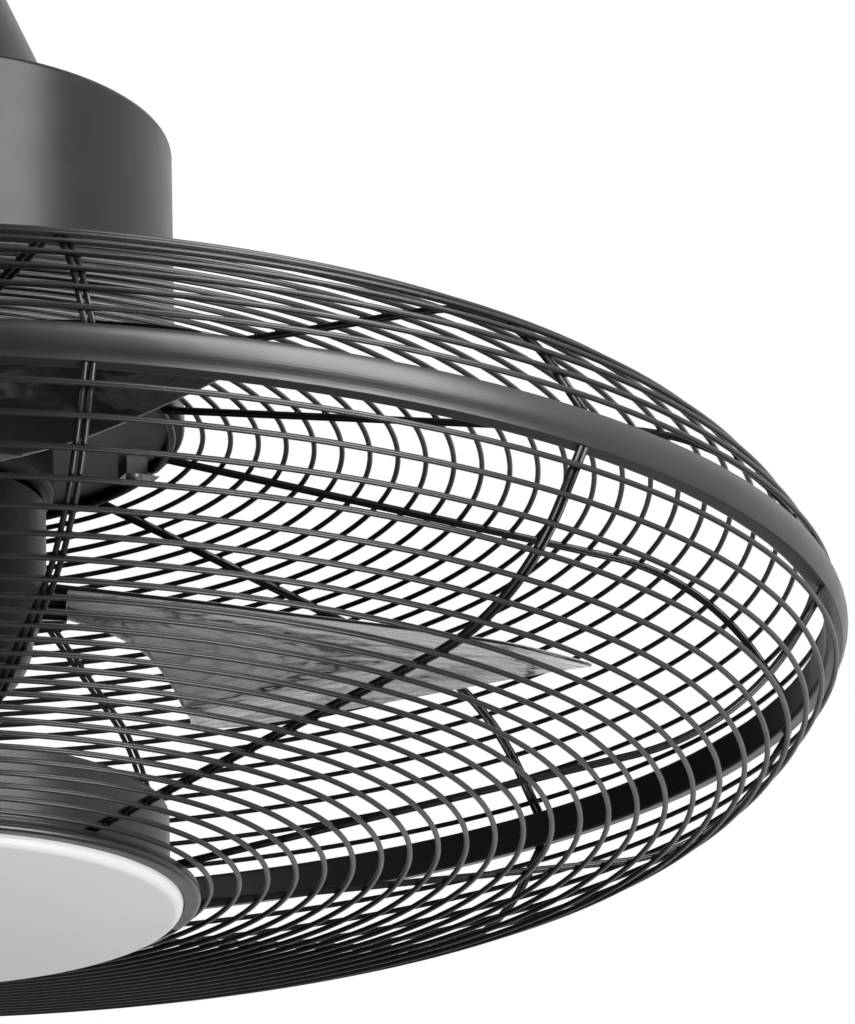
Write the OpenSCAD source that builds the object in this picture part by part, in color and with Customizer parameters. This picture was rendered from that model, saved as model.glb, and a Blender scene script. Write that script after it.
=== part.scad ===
// Orbital ceiling fan: a three blade rotor inside a saucer cage of wire rings, hung from a downrod,
// with a round light under the rotor. Millimetres, +Z up, origin on the ceiling face.

/* [Height] */
// Ceiling face to the middle of the cage's band
drop = 525; // [500:5:700]

/* [Ceiling bracket] */
// Radius of the bracket's ceiling plate
bracket_r = 60; // [56:1:62]
// Thickness of the bracket's steel
bracket_t = 2.5; // [2:0.1:3.5]
// Pitch circle diameter of the ceiling screw holes
ceiling_pcd = 90; // [80:1:100]
// Ceiling screw hole radius
ceiling_hole_r = 2.75; // [2:0.05:3.5]
// Radius of the cable hole in the ceiling plate
cable_hole_r = 12; // [8:0.5:15]
// Radius of the hanger ball
ball_r = 22; // [21:0.5:24]
// Depth of the ball's centre under the ceiling
ball_depth = 32; // [30:1:36]

/* [Canopy] */
// Outer radius of the canopy at the ceiling
canopy_r = 67; // [66:0.5:75]
// Height of the canopy
canopy_h = 60; // [58:1:75]
// Wall of the canopy
canopy_wall = 1.2; // [0.8:0.1:2]

/* [Downrod] */
// Outer radius of the downrod
rod_r = 13.35; // [12:0.05:14]
// Wall of the downrod
rod_wall = 2.2; // [1.5:0.1:3]
// Bolt radius of the cross pins
pin_r = 3; // [2.5:0.1:3.5]

/* [Cone cover] */
// Radius of the cone cover's open foot
cone_foot_r = 78.6; // [74:0.2:90]
// Height of the cone cover
cone_h = 134; // [120:1:160]
// Radius of the cone cover's top
cone_top_r = 19.4; // [18.5:0.1:24]

/* [Drum] */
// Outer radius of the motor drum
drum_r = 116; // [112:0.5:125]
// Height of the motor drum
drum_h = 120.2; // [100:0.2:140]
// Wall of the drum and its pan
drum_wall = 1.6; // [1.2:0.1:2.5]
// Radius of the drum's rounded top edge
drum_edge_r = 3; // [2:0.5:5]
// Height of the pan's rim
pan_rim_h = 12; // [8:0.5:16]

/* [Cage] */
// Outer radius of the band
band_r = 380; // [378:1:400]
// Height of the band
band_h = 15; // [13:0.5:17]
// Depth of the band from front to back
band_t = 9; // [8:0.5:11]
// Wire diameter of the rings and ribs
wire_d = 2.2; // [1.8:0.1:2.4]
// Rings in each half of the cage
ring_count = 25; // [20:1:26]
// Number of rib pairs
rib_count = 12; // [8:1:16]
// Turn of the first rib pair from +X
rib_turn = -81; // [-90:1:-60]
// Gap between the two wires of a rib pair
rib_gap = 0.6; // [0.4:0.1:1.5]
// Slope of the steep wires next to the band
steep_angle = 57; // [50:1:62]
// Length of the steep stretch
steep_l = 14; // [8:1:20]
// Bend radius of the cage's shoulder
shoulder_r = 94; // [85:1:100]
// Slope of the upper dish
upper_dish_angle = 9.2; // [9:0.1:9.4]
// Slope of the lower dish
lower_dish_angle = 8; // [7.8:0.1:8.2]
// Radius of the innermost ring
inner_ring_r = 126.7; // [125:0.1:130]
// Radius of the hoop that ends the ribs
hoop_r = 114; // [113.5:0.1:115]
// Wire diameter of the hoop
hoop_d = 3.6; // [3:0.1:4]

/* [Rotor] */
// Number of blades
blade_count = 3; // [3:1:3]
// Radius of the blade tips
tip_r = 281; // [270:1:300]
// Blade thickness at its middle
blade_t = 3.2; // [2.4:0.1:4]
// Camber of a blade as a share of its chord
camber = 0.045; // [0:0.005:0.1]
// Corner radius of a blade tip
tip_corner = 26; // [12:1:40]
// Turn of the first blade from +X
blade_turn = -114.4; // [-120:0.1:-60]
// Outer radius of the hub shell at its top
hub_r = 63.5; // [62:0.5:66]
// Wall of the hub shell
hub_wall = 2; // [1.5:0.1:2.5]
// Width of the blade's root block
root_w = 14; // [12:0.5:16]

/* [Motor] */
// Outer radius of the fixed motor cap
cap_r = 66.7; // [66:0.1:70]
// Radius of the fixed shaft
shaft_r = 8; // [7:0.1:9]
// Bore of the shaft for the lamp's wires
shaft_bore_r = 5; // [3:0.1:6]
// Outer radius of the bearings
bearing_r = 11.5; // [11:0.1:13]
// Radial air gap between stator and magnets
air_gap = 1; // [0.5:0.1:1.5]
// Outer radius of the stator
stator_r = 44; // [40:0.5:45]
// Teeth of the stator
tooth_count = 12; // [9:3:15]

/* [Light] */
// Outer radius of the light housing
light_r = 111; // [105:0.5:111.5]
// Depth of the housing's top under the middle of the band
light_top = 60; // [56:0.5:64]
// Width of the trim ring round the diffuser
trim_w = 7; // [6.6:0.1:8]
// Radius of the diffuser
diffuser_r = 115.9; // [112:0.1:116]
// Height of the diffuser
diffuser_h = 8.2; // [7:0.2:12]
// Wall of the diffuser
diffuser_wall = 2; // [1.5:0.1:3]
// Light sources on the board
led_count = 24; // [12:4:36]

/* [Fits] */
// Radial clearance of a running fit
run_gap = 0.05; // [0.02:0.01:0.1]
// Clearance between pieces that only pass each other
pass_gap = 0.3; // [0.2:0.05:0.5]
// How deep a weld sinks one wire into the other
weld = 0.3; // [0.1:0.05:0.4]

/* [Hidden] */
$fn = 72;
tiny = 0.01;
equator = -drop;

black = "#303236";
gloss = "#17181a";
steel = "#9a9c9f";
opal = "#d3d3d4";
copper = "#b5713a";

// seat of the hanger ball
touch = 0.02;
seat_t = 9;
seat_drop = 9;
seat_r = ball_r + 5;
rod_hole_r = rod_r + 3.15;
coupling_r = rod_r + 8.5;
coupling_flange_r = 50;
coupling_flange_t = 6;
coupling_h = 43;
coupling_pcd = 80;
flange_hole_r = 2.6;
rod_top = -ball_depth + ball_r - 2;

// a point on a guard's profile at length s from its first ring, as [radius, height, slope]
first_r = band_r - 5.4;
first_z = band_h / 2 + 6.1;
function corner_1() = [first_r - steep_l * cos(steep_angle), first_z + steep_l * sin(steep_angle)];
function bend_centre() = [corner_1()[0] - shoulder_r * sin(steep_angle),
    corner_1()[1] - shoulder_r * cos(steep_angle)];
function bend_l(dish) = shoulder_r * (steep_angle - dish) * PI / 180;
function bend_point(a) = [bend_centre()[0] + shoulder_r * sin(a), bend_centre()[1] + shoulder_r * cos(a), a];
function dish_point(s, dish) = [bend_point(dish)[0] - s * cos(dish), bend_point(dish)[1] + s * sin(dish), dish];
function on_profile(s, dish) = s < steep_l
    ? [first_r - s * cos(steep_angle), first_z + s * sin(steep_angle), steep_angle]
    : s < steep_l + bend_l(dish)
        ? bend_point(steep_angle - (s - steep_l) / shoulder_r * 180 / PI)
        : dish_point(s - steep_l - bend_l(dish), dish);
function profile_l(dish) = steep_l + bend_l(dish) + (bend_point(dish)[0] - inner_ring_r) / cos(dish);
// the same point moved towards the inside of the cage
function inward(p, o) = [p[0] - o * sin(p[2]), p[1] - o * cos(p[2])];
rib_in = wire_d - weld;
rib_pitch = wire_d + rib_gap;
rib_reach = 6.8;
bend_swell = 0.12;
bend_lap = 0.5;
function hoop_z(dish) = inward(dish_point((bend_point(dish)[0] - hoop_r) / cos(dish), dish), rib_in)[1];

// the pan lies on the upper hoop, and the drum stands in the pan
pan_z = hoop_z(upper_dish_angle) + hoop_d / 2 + touch;
pan_floor = pan_z + drum_wall;
drum_top = pan_floor + drum_h;
rod_foot = equator + drum_top + coupling_flange_t;
coupling_pin_z = rod_foot + 25;

// rotor heights over the middle of the band
core_z = 16;
core_t = 4;
root_z = core_z + core_t;
root_h = 16;
clamp_t = 2;
can_z = root_z + root_h + clamp_t;
can_t = 3;
bearing_h = 6;
core_h = 12;
can_h = 28;
stator_z = can_z + 8;
magnet_t = 3;
magnet_h = 14;
can_wall = 2.5;
can_in_r = stator_r + air_gap + magnet_t;
can_r = can_in_r + can_wall;
shell_top = can_z + can_h;
cap_z = shell_top + 3;
plate_r = hub_r - hub_wall - 2.2;
root_in_r = 36;
root_out_r = hub_r + 8;
screw_r = 2;
screw_hole_r = 2.15;
screw_head_r = 3.6;
screw_ring = [44, 52];
nose_z = 10;
nose_drop = 27;
nose_r = hub_r - 5.5;
nose_in_r = 20;
core_r = nose_r - 0.4;

// light heights under the middle of the band
hoop_low = hoop_z(lower_dish_angle);
flange_top = hoop_low + hoop_d / 2 + touch;
flange_t = 1.2;
trim_r = diffuser_r + trim_w;
flange_r = trim_r - 1.3;
housing_wall = 1.5;
tab_t = 1.2;
trim_leg_t = 1.2;
trim_low = flange_top + flange_t + 0.2 + tab_t + 0.2 + trim_leg_t;
diffuser_top = flange_top + flange_t + 0.1;

// the polygon of a quarter turn of n steps about c, from angle a to b
function arc(c, r, a, b, n = 6) = [for (i = [0:n]) c + r * [cos(a + (b - a) * i / n), sin(a + (b - a) * i / n)]];
module ring_tube(r_out, r_in, h) {
    difference() {
        cylinder(r = r_out, h = h);
        translate([0, 0, -1]) cylinder(r = r_in, h = h + 2);
    }
}
module on_circle(count, r, turn = 0) {
    for (i = [0:count - 1]) rotate([0, 0, turn + i * 360 / count]) translate([r, 0, 0]) children();
}
// a round headed screw, head under z = 0, shank upwards
module screw_up(r, l, head_r, head_h) {
    translate([0, 0, -head_h]) cylinder(r = head_r, h = head_h, $fn = 32);
    translate([0, 0, -head_h / 2]) cylinder(r = r, h = l + head_h / 2, $fn = 32);
}

// ---- ceiling end ----
module hanger_bracket() {
    color(steel) difference() {
        union() {
            translate([0, 0, -bracket_t]) cylinder(r = bracket_r, h = bracket_t);
            for (s = [-1, 1]) {
                // strap from the plate to the ball's seat
                translate([s * (seat_r + bracket_t / 2 - 0.5) - bracket_t / 2, -11, -ball_depth - seat_drop - seat_t])
                    cube([bracket_t, 22, ball_depth + seat_drop + seat_t - tiny]);
                // ear for a canopy screw
                translate([-6, s * (canopy_r - canopy_wall - pass_gap - 1) - 1, -16]) cube([12, 2, 16]);
                translate([-6, s > 0 ? bracket_r - 4 : -canopy_r + canopy_wall + pass_gap, -bracket_t])
                    cube([12, canopy_r - canopy_wall - pass_gap - bracket_r + 4, bracket_t]);
            }
            translate([0, 0, -ball_depth - seat_drop - seat_t]) cylinder(r = seat_r, h = seat_t);
        }
        translate([0, 0, -ball_depth]) sphere(r = ball_r + run_gap);
        translate([0, 0, -ball_depth - 40]) cylinder(r = rod_hole_r, h = 40);
        translate([0, 0, -bracket_t - 1]) cylinder(r = cable_hole_r, h = bracket_t + 2);
        on_circle(4, ceiling_pcd / 2, 45) translate([0, 0, -bracket_t - 1])
            cylinder(r = ceiling_hole_r, h = bracket_t + 2);
        translate([0, -canopy_r, -9]) rotate([-90, 0, 0]) cylinder(r = 1.6, h = 2 * canopy_r);
    }
}
module canopy() {
    skirt = 20;
    foot_r = 42;
    outer = concat([[canopy_r, -0.5], [canopy_r, -skirt]],
        arc([foot_r - 6, -canopy_h + 6], 6, -18, -90),
        [[rod_hole_r, -canopy_h]]);
    inner = concat([[rod_hole_r, -canopy_h + canopy_wall]],
        arc([foot_r - 6, -canopy_h + 6], 6 - canopy_wall, -90, -18),
        [[canopy_r - canopy_wall, -skirt - 0.2], [canopy_r - canopy_wall, -0.5]]);
    color(black) difference() {
        rotate_extrude() polygon(concat(outer, inner));
        translate([0, -canopy_r - 1, -9]) rotate([-90, 0, 0]) cylinder(r = 2.3, h = 2 * canopy_r + 2);
    }
}
module canopy_screws() {
    color(black) for (s = [0, 180]) rotate([0, 0, s]) translate([0, canopy_r, -9]) rotate([90, 0, 0])
        screw_up(1.5, 6, 3.6, 1.8);
}
module hanger_ball() {
    color(steel) difference() {
        intersection() {
            translate([0, 0, -ball_depth]) sphere(r = ball_r);
            translate([0, 0, -ball_depth - ball_r]) cylinder(r = ball_r + 1, h = 2 * ball_r - 6);
        }
        translate([0, 0, -ball_depth - 30]) cylinder(r = rod_r + run_gap, h = 60);
        translate([-30, 0, -ball_depth]) rotate([0, 90, 0]) cylinder(r = pin_r + run_gap, h = 60);
    }
}
module ball_pin() {
    color(steel) translate([-ball_r + 2.2, 0, -ball_depth]) rotate([0, 90, 0])
        cylinder(r = pin_r, h = 2 * ball_r - 4.4);
}
module downrod() {
    color(black) difference() {
        translate([0, 0, rod_foot]) cylinder(r = rod_r, h = rod_top - rod_foot);
        translate([0, 0, rod_foot - 1]) cylinder(r = rod_r - rod_wall, h = rod_top - rod_foot + 2);
        for (z = [-ball_depth, coupling_pin_z]) translate([-30, 0, z]) rotate([0, 90, 0])
            cylinder(r = pin_r + run_gap, h = 60);
    }
}

// ---- drum and cone ----
module rod_coupling() {
    color(steel) difference() {
        union() {
            translate([0, 0, equator + drum_top]) cylinder(r = coupling_flange_r, h = coupling_flange_t);
            translate([0, 0, equator + drum_top]) cylinder(r = coupling_r, h = coupling_h);
        }
        translate([0, 0, rod_foot]) cylinder(r = rod_r + run_gap, h = coupling_h);
        translate([0, 0, equator + drum_top - 1]) cylinder(r = rod_r - rod_wall, h = coupling_h);
        translate([-30, 0, coupling_pin_z]) rotate([0, 90, 0]) cylinder(r = pin_r + run_gap, h = 60);
        on_circle(4, coupling_pcd / 2) translate([0, 0, equator + drum_top - 1])
            cylinder(r = flange_hole_r, h = coupling_flange_t + 2);
    }
}
module coupling_pin() {
    // a clevis pin with a head at one end and a ring clip at the other
    color(steel) translate([-coupling_r - 2.5, 0, coupling_pin_z]) rotate([0, 90, 0]) union() {
        cylinder(r = pin_r, h = 2 * coupling_r + 8);
        cylinder(r = pin_r + 2, h = 2.4);
        translate([0, 0, 2 * coupling_r + 4]) rotate_extrude() translate([pin_r + 0.4, 0])
            circle(r = 0.8, $fn = 16);
    }
}
module coupling_screws() {
    color(steel) on_circle(4, coupling_pcd / 2) translate([0, 0, equator + drum_top + coupling_flange_t])
        rotate([180, 0, 0]) screw_up(2.5, coupling_flange_t + drum_wall + 4, 4.5, 3);
}
module cone_cover() {
    wall = 1.5;
    low = equator + drum_top + 0.05;
    color(black) rotate_extrude() polygon([[cone_foot_r, low], [cone_top_r, low + cone_h],
        [rod_r + 1, low + cone_h], [rod_r + 1, low + cone_h - wall],
        [cone_top_r - wall, low + cone_h - wall], [cone_foot_r - wall, low]]);
}
module cone_grommet() {
    low = equator + drum_top + 0.05 + cone_h;
    color(gloss) rotate_extrude() polygon(concat([[rod_r, low], [cone_top_r - 0.6, low]],
        arc([cone_top_r - 2.6, low + 2], 2, 0, 90), [[rod_r, low + 4]]));
}
module motor_drum() {
    low = equator + pan_floor;
    top = equator + drum_top;
    e = drum_edge_r;
    outline = concat([[drum_r, low]], arc([drum_r - e, top - e], e, 0, 90),
        [[20, top], [20, top - drum_wall]],
        arc([drum_r - e, top - e], e - drum_wall, 90, 0), [[drum_r - drum_wall, low]]);
    color(black) difference() {
        rotate_extrude($fn = 120) polygon(outline);
        on_circle(4, coupling_pcd / 2) translate([0, 0, top - drum_wall - 1])
            cylinder(r = flange_hole_r, h = drum_wall + 2);
    }
}
module support_tube() {
    low = equator + pan_floor;
    top = equator + drum_top - drum_wall;
    color(steel) difference() {
        union() {
            translate([0, 0, low]) cylinder(r = 46, h = 4);
            translate([0, 0, low]) cylinder(r = 22, h = top - low);
            translate([0, 0, top - 4]) cylinder(r = coupling_flange_r, h = 4);
        }
        translate([0, 0, low - 1]) cylinder(r = shaft_r + run_gap, h = 25);
        translate([0, 0, low + 14]) cylinder(r = 19, h = top - low);
        on_circle(4, coupling_pcd / 2) translate([0, 0, top - 5]) cylinder(r = 2.55, h = 6);
        on_circle(4, 36, 45) translate([0, 0, low - 1]) cylinder(r = flange_hole_r, h = 6);
    }
}
clip_ring_r = 106.3;
clip_turn = 17.7;
module drum_pan() {
    low = equator + pan_z;
    rim = drum_r + 1.5 + 2;
    outline = concat([[shaft_r + run_gap, low]], arc([rim - 2, low + 2], 2, -90, 0, 4),
        [[rim, low + pan_rim_h], [rim - 2, low + pan_rim_h], [rim - 2, low + drum_wall],
        [shaft_r + run_gap, low + drum_wall]]);
    color(black) difference() {
        rotate_extrude($fn = 120) polygon(outline);
        on_circle(4, 36, 45) translate([0, 0, low - 1]) cylinder(r = flange_hole_r, h = drum_wall + 2);
        on_circle(4, clip_ring_r, clip_turn) translate([0, 0, low - 1]) cylinder(r = 1.65, h = drum_wall + 2);
    }
}
module pan_screws() {
    color(steel) on_circle(4, 36, 45) translate([0, 0, equator + pan_z - 2])
        screw_up(2.5, drum_wall + 2 + 6, 4.5, 3);
}
module led_driver() {
    color("#d8d8d4") translate([-98, -24, equator + pan_floor]) cube([50, 48, 26]);
}
module speed_receiver() {
    color("#26282a") translate([52, -22, equator + pan_floor]) cube([42, 44, 22]);
}

// ---- motor ----
module motor_cap() {
    low = equator + cap_z;
    top = equator + pan_z;
    e = 4;
    outline = concat([[shaft_r + run_gap, top - 2], [cap_r - 2, top - 2], [cap_r - 2, low + e]],
        [[cap_r - 4.5, low + 1], [cap_r - 4.5, low]], arc([cap_r - e, low + e], e, -90, 0, 4),
        [[cap_r, top], [shaft_r + run_gap, top]]);
    color(black) difference() {
        rotate_extrude() polygon(outline);
        on_circle(4, 36, 45) translate([0, 0, top - 3]) cylinder(r = flange_hole_r, h = 4);
    }
}
shaft_top = equator + pan_floor + 12;
shaft_low = equator - light_top - housing_wall - 9;
module motor_shaft() {
    color(steel) difference() {
        translate([0, 0, shaft_low]) cylinder(r = shaft_r, h = shaft_top - shaft_low);
        translate([0, 0, shaft_low - 1]) cylinder(r = shaft_bore_r, h = shaft_top - shaft_low + 2);
    }
}
tooth_w = 6;
module stator_core() {
    yoke_r = 22;
    color(steel) translate([0, 0, equator + stator_z]) difference() {
        union() {
            cylinder(r = yoke_r, h = core_h);
            on_circle(tooth_count, 0) translate([yoke_r - 1, -tooth_w / 2, 0])
                cube([stator_r - yoke_r - 1, tooth_w, core_h]);
            // pole shoes: an outer ring cut into one shoe for each tooth
            difference() {
                ring_tube(stator_r, stator_r - 3, core_h);
                on_circle(tooth_count, 0, 180 / tooth_count) translate([stator_r - 6, -1.2, -1])
                    cube([8, 2.4, core_h + 2]);
            }
        }
        translate([0, 0, -1]) cylinder(r = shaft_r + run_gap / 2, h = core_h + 2);
    }
}
module stator_windings() {
    coil = 1.6;
    color(copper) translate([0, 0, equator + stator_z]) on_circle(tooth_count, 26) difference() {
        translate([0, -tooth_w / 2 - coil, -coil]) cube([13, tooth_w + 2 * coil, core_h + 2 * coil]);
        translate([-1, -tooth_w / 2 - 0.05, -0.05]) cube([15, tooth_w + 0.1, core_h + 0.1]);
    }
}

// ---- cage ----
module wire_between(p, q) {
    // a straight wire in the XZ plane, from a little past p in the bend to q
    translate([p[0], 0, p[1]]) rotate([0, atan2(q[0] - p[0], q[1] - p[1]), 0])
        rotate([0, 0, q[1] > p[1] ? 180 : 0]) translate([0, 0, -bend_lap])
            cylinder(d = wire_d, h = norm(q - p) + bend_lap, $fn = 24);
}
module rib_wire(dish) {
    // one bent wire of a rib: into the band, down the shoulder and along the dish to the hoop
    start = inward(on_profile(0, dish), rib_in) + rib_reach * [cos(steep_angle), -sin(steep_angle)];
    wire_between(inward(bend_point(steep_angle), rib_in), start);
    wire_between(inward(bend_point(dish), rib_in), [hoop_r, hoop_z(dish)]);
    translate([bend_centre()[0], 0, bend_centre()[1]]) rotate([90, 0, 0]) rotate([0, 0, 90 - steep_angle])
        rotate_extrude(angle = steep_angle - dish, $fn = 96)
            translate([shoulder_r - rib_in, 0]) rotate(180) circle(d = wire_d + bend_swell, $fn = 24);
}
module ring_at(p) {
    rotate_extrude($fn = 96) translate([p[0], p[1]]) circle(d = wire_d, $fn = 24);
}
// wire i of the rib pairs; way is -1 for a half that is turned upside down about X
module rib(i, dish, side, way) {
    rotate([0, 0, way * (rib_turn + i * 360 / rib_count)]) translate([0, way * side * rib_pitch / 2, 0])
        rib_wire(dish);
}
// rings first to last of a half, on one wire of the first rib pair
module ring_group(dish, first, last, side, way) {
    for (i = [first:last]) ring_at(on_profile(i * profile_l(dish) / (ring_count - 1), dish));
    rib(0, dish, side, way);
}
outer_rings = ceil(ring_count / 2);
module outer_group(dish, way) {
    ring_group(dish, 0, outer_rings - 1, -1, way);
}
// the inner rings and the hoop that ends the ribs
module inner_group(dish, way) {
    ring_group(dish, outer_rings, ring_count - 1, 1, way);
    translate([0, 0, hoop_z(dish)]) rotate_extrude($fn = 96) translate([hoop_r, 0]) rotate(180)
        circle(d = hoop_d, $fn = 24);
}
// the other rib pairs, each wire a separate solid
module other_ribs(dish, way) {
    for (i = [1:rib_count - 1], side = [-1, 1]) rib(i, dish, side, way);
}
module upper_half() {
    color(black) translate([0, 0, equator]) children();
}
// turned upside down about X
module lower_half() {
    color(black) translate([0, 0, equator]) rotate([180, 0, 0]) children();
}
module upper_outer_rings() {
    upper_half() outer_group(upper_dish_angle, 1);
}
module upper_inner_rings() {
    upper_half() inner_group(upper_dish_angle, 1);
}
module upper_ribs() {
    upper_half() other_ribs(upper_dish_angle, 1);
}
module lower_outer_rings() {
    lower_half() outer_group(lower_dish_angle, -1);
}
module lower_inner_rings() {
    lower_half() inner_group(lower_dish_angle, -1);
}
module lower_ribs() {
    lower_half() other_ribs(lower_dish_angle, -1);
}
module guard_clips() {
    // a strap under the hoop, screwed to the pan
    low = equator + hoop_z(upper_dish_angle) - hoop_d / 2;
    color(steel) on_circle(4, 0, clip_turn) difference() {
        union() {
            translate([clip_ring_r - 5, -5, low - 1.2]) cube([hoop_r + 2 - clip_ring_r + 5, 10, 1.2]);
            translate([clip_ring_r - 5, -5, low - tiny]) cube([9, 10, equator + pan_z - low + tiny]);
            translate([clip_ring_r, 0, low - 3.4]) cylinder(r = 3.4, h = 2.4, $fn = 32);
            translate([clip_ring_r, 0, low]) cylinder(r = 1.5, h = equator + pan_floor + 2 - low, $fn = 32);
        }
        translate([clip_ring_r, 0, low - 4.4]) cylinder(r = 1.6, h = 2, $fn = 32);
    }
}
module equator_band() {
    crown = 3;
    edge = 1.5;
    crown_r = (pow(band_h / 2, 2) + pow(crown, 2)) / (2 * crown);
    sweep = asin((band_h / 2 - edge / 2) / crown_r);
    outline = concat(arc([band_r - band_t + edge, -band_h / 2 + edge], edge, 180, 270, 4),
        arc([band_r - crown_r, 0], crown_r, -sweep, sweep, 14),
        arc([band_r - band_t + edge, band_h / 2 - edge], edge, 90, 180, 4));
    color(black) translate([0, 0, equator]) rotate_extrude($fn = 180) polygon(outline);
}

// ---- light ----
module light_stem() {
    top = equator + nose_z - nose_drop - 3;
    low = equator - light_top;
    color(black) difference() {
        translate([0, 0, low]) cylinder(r = 14, h = top - low);
        translate([0, 0, low - 1]) cylinder(r = shaft_r + run_gap / 2, h = top - low + 2);
    }
}
module light_housing() {
    top = equator - light_top;
    low = equator - flange_top;
    e = 2.5;
    outline = concat([[shaft_r + pass_gap, top]], arc([light_r - e, top - e], e, 90, 0, 4),
        [[light_r, low], [flange_r, low], [flange_r, low - flange_t], [light_r - housing_wall, low - flange_t]],
        arc([light_r - e, top - e], e - housing_wall, 0, 90, 4), [[shaft_r + pass_gap, top - housing_wall]]);
    color(black) rotate_extrude($fn = 120) polygon(outline);
}
module shaft_nut() {
    top = equator - light_top - housing_wall;
    color(steel) difference() {
        translate([0, 0, top - 6]) cylinder(r = 13, h = 6, $fn = 6);
        translate([0, 0, top - 7]) cylinder(r = shaft_r + run_gap / 2, h = 8);
    }
}
board_t = 1.6;
module led_board() {
    low = equator - light_top - housing_wall - board_t;
    color("#e8e8e4") translate([0, 0, low]) ring_tube(light_r - 12, 20, board_t);
}
module leds() {
    low = equator - light_top - housing_wall - board_t - 1.2;
    color("#f2e3a0") for (k = [1, 2]) on_circle(led_count * k / 2, 32 + 26 * k)
        translate([-2.5, -2.5, low]) cube([5, 5, 1.2]);
}
trim_lip = 0.6;
tab_half_angle = 8;
twist = 25;
module trim_ring() {
    z0 = equator - trim_low;
    top = equator - flange_top + trim_lip;
    in_r = diffuser_r + 0.6;
    color(black) difference() {
        rotate_extrude($fn = 120) polygon(concat([[in_r, z0], [in_r, z0 + trim_leg_t],
            [flange_r + 0.1, z0 + trim_leg_t], [flange_r + 0.1, top - trim_lip], [flange_r - 1, top - trim_lip],
            [flange_r - 1, top], [trim_r - 0.4, top]],
            arc([trim_r - 2, z0 + 2], 2, 0, -90, 4)));
        // notches that let the diffuser's tabs in when it is turned
        on_circle(3, in_r - 1, twist) translate([0, -19, z0 - 1]) cube([4.2, 38, trim_leg_t + 1.1]);
    }
}
module diffuser() {
    top = equator - diffuser_top;
    low = top - diffuser_h;
    e = 4;
    rise = 1.4;
    dome_r = (pow(diffuser_r - e, 2) + pow(rise, 2)) / (2 * rise);
    side = asin((diffuser_r - e) / dome_r);
    color(opal) union() {
        rotate_extrude($fn = 120) polygon(concat([[diffuser_r, top]],
            arc([diffuser_r - e, low + e + rise], e, 0, -90, 6),
            [for (i = [1:8]) let (a = side * (1 - i / 8)) [dome_r * sin(a), low + dome_r - dome_r * cos(a)]],
            [[0, low + diffuser_wall]],
            [for (i = [1:8]) let (a = side * i / 8, d = dome_r - diffuser_wall) [d * sin(a), low + dome_r - d * cos(a)]],
            [[diffuser_r - diffuser_wall, low + e + rise], [diffuser_r - diffuser_wall, top]]));
        // three bayonet tabs that rest on the trim's lip
        for (i = [0:2]) rotate([0, 0, i * 120 - tab_half_angle]) translate([0, 0, top - tab_t])
            rotate_extrude(angle = 2 * tab_half_angle, $fn = 120) translate([diffuser_r - 1, 0]) square([3.2, tab_t]);
    }
}

// ---- rotor ----
module screw_holes(r, z, h) {
    on_circle(blade_count, 0, blade_turn) for (x = screw_ring) translate([x, 0, z]) cylinder(r = r, h = h, $fn = 32);
}
module rotor_can() {
    z = equator + can_z;
    color(steel) difference() {
        union() {
            translate([0, 0, z]) cylinder(r = can_r, h = can_t);
            translate([0, 0, z]) cylinder(r = bearing_r + 3, h = bearing_h);
            translate([0, 0, z]) ring_tube(can_r, can_in_r, can_h - can_t);
            translate([0, 0, z]) ring_tube(plate_r, can_in_r, can_t);
        }
        translate([0, 0, z - 1]) cylinder(r = bearing_r, h = bearing_h + 2);
        screw_holes(screw_hole_r, z - 1, can_t + 2);
    }
}
module rotor_lid() {
    z = equator + can_z + can_h - can_t;
    color(steel) difference() {
        union() {
            translate([0, 0, z]) cylinder(r = can_r, h = can_t);
            translate([0, 0, z + can_t - bearing_h]) cylinder(r = bearing_r + 3, h = bearing_h);
        }
        translate([0, 0, z - bearing_h]) cylinder(r = bearing_r, h = 2 * bearing_h + can_t);
    }
}
module magnets() {
    color("#5a5c60") translate([0, 0, equator + stator_z - 1]) on_circle(tooth_count + 2, 0)
        rotate_extrude(angle = 340 / (tooth_count + 2), $fn = 120)
            translate([can_in_r - magnet_t, 0]) square([magnet_t, magnet_h]);
}
module bearing(z) {
    translate([0, 0, z]) ring_tube(bearing_r, shaft_r + run_gap, bearing_h);
}
module upper_bearing() {
    color(steel) bearing(equator + can_z + can_h - bearing_h);
}
module lower_bearing() {
    color(steel) bearing(equator + can_z);
}
module hub_core() {
    color(gloss) difference() {
        translate([0, 0, equator + core_z]) ring_tube(core_r, 24, core_t);
        screw_holes(screw_hole_r, equator + core_z - 1, core_t + 2);
    }
}
module clamp_ring() {
    color(steel) difference() {
        translate([0, 0, equator + root_z + root_h]) ring_tube(plate_r, 24, clamp_t);
        screw_holes(screw_hole_r, equator + root_z + root_h - 1, clamp_t + 2);
    }
}
module blade_screws() {
    color(steel) translate([0, 0, equator + core_z]) on_circle(blade_count, 0, blade_turn)
        for (x = screw_ring) translate([x, 0, 0]) screw_up(screw_r, core_t + root_h + clamp_t + can_t, screw_head_r, 2.4);
}
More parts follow.
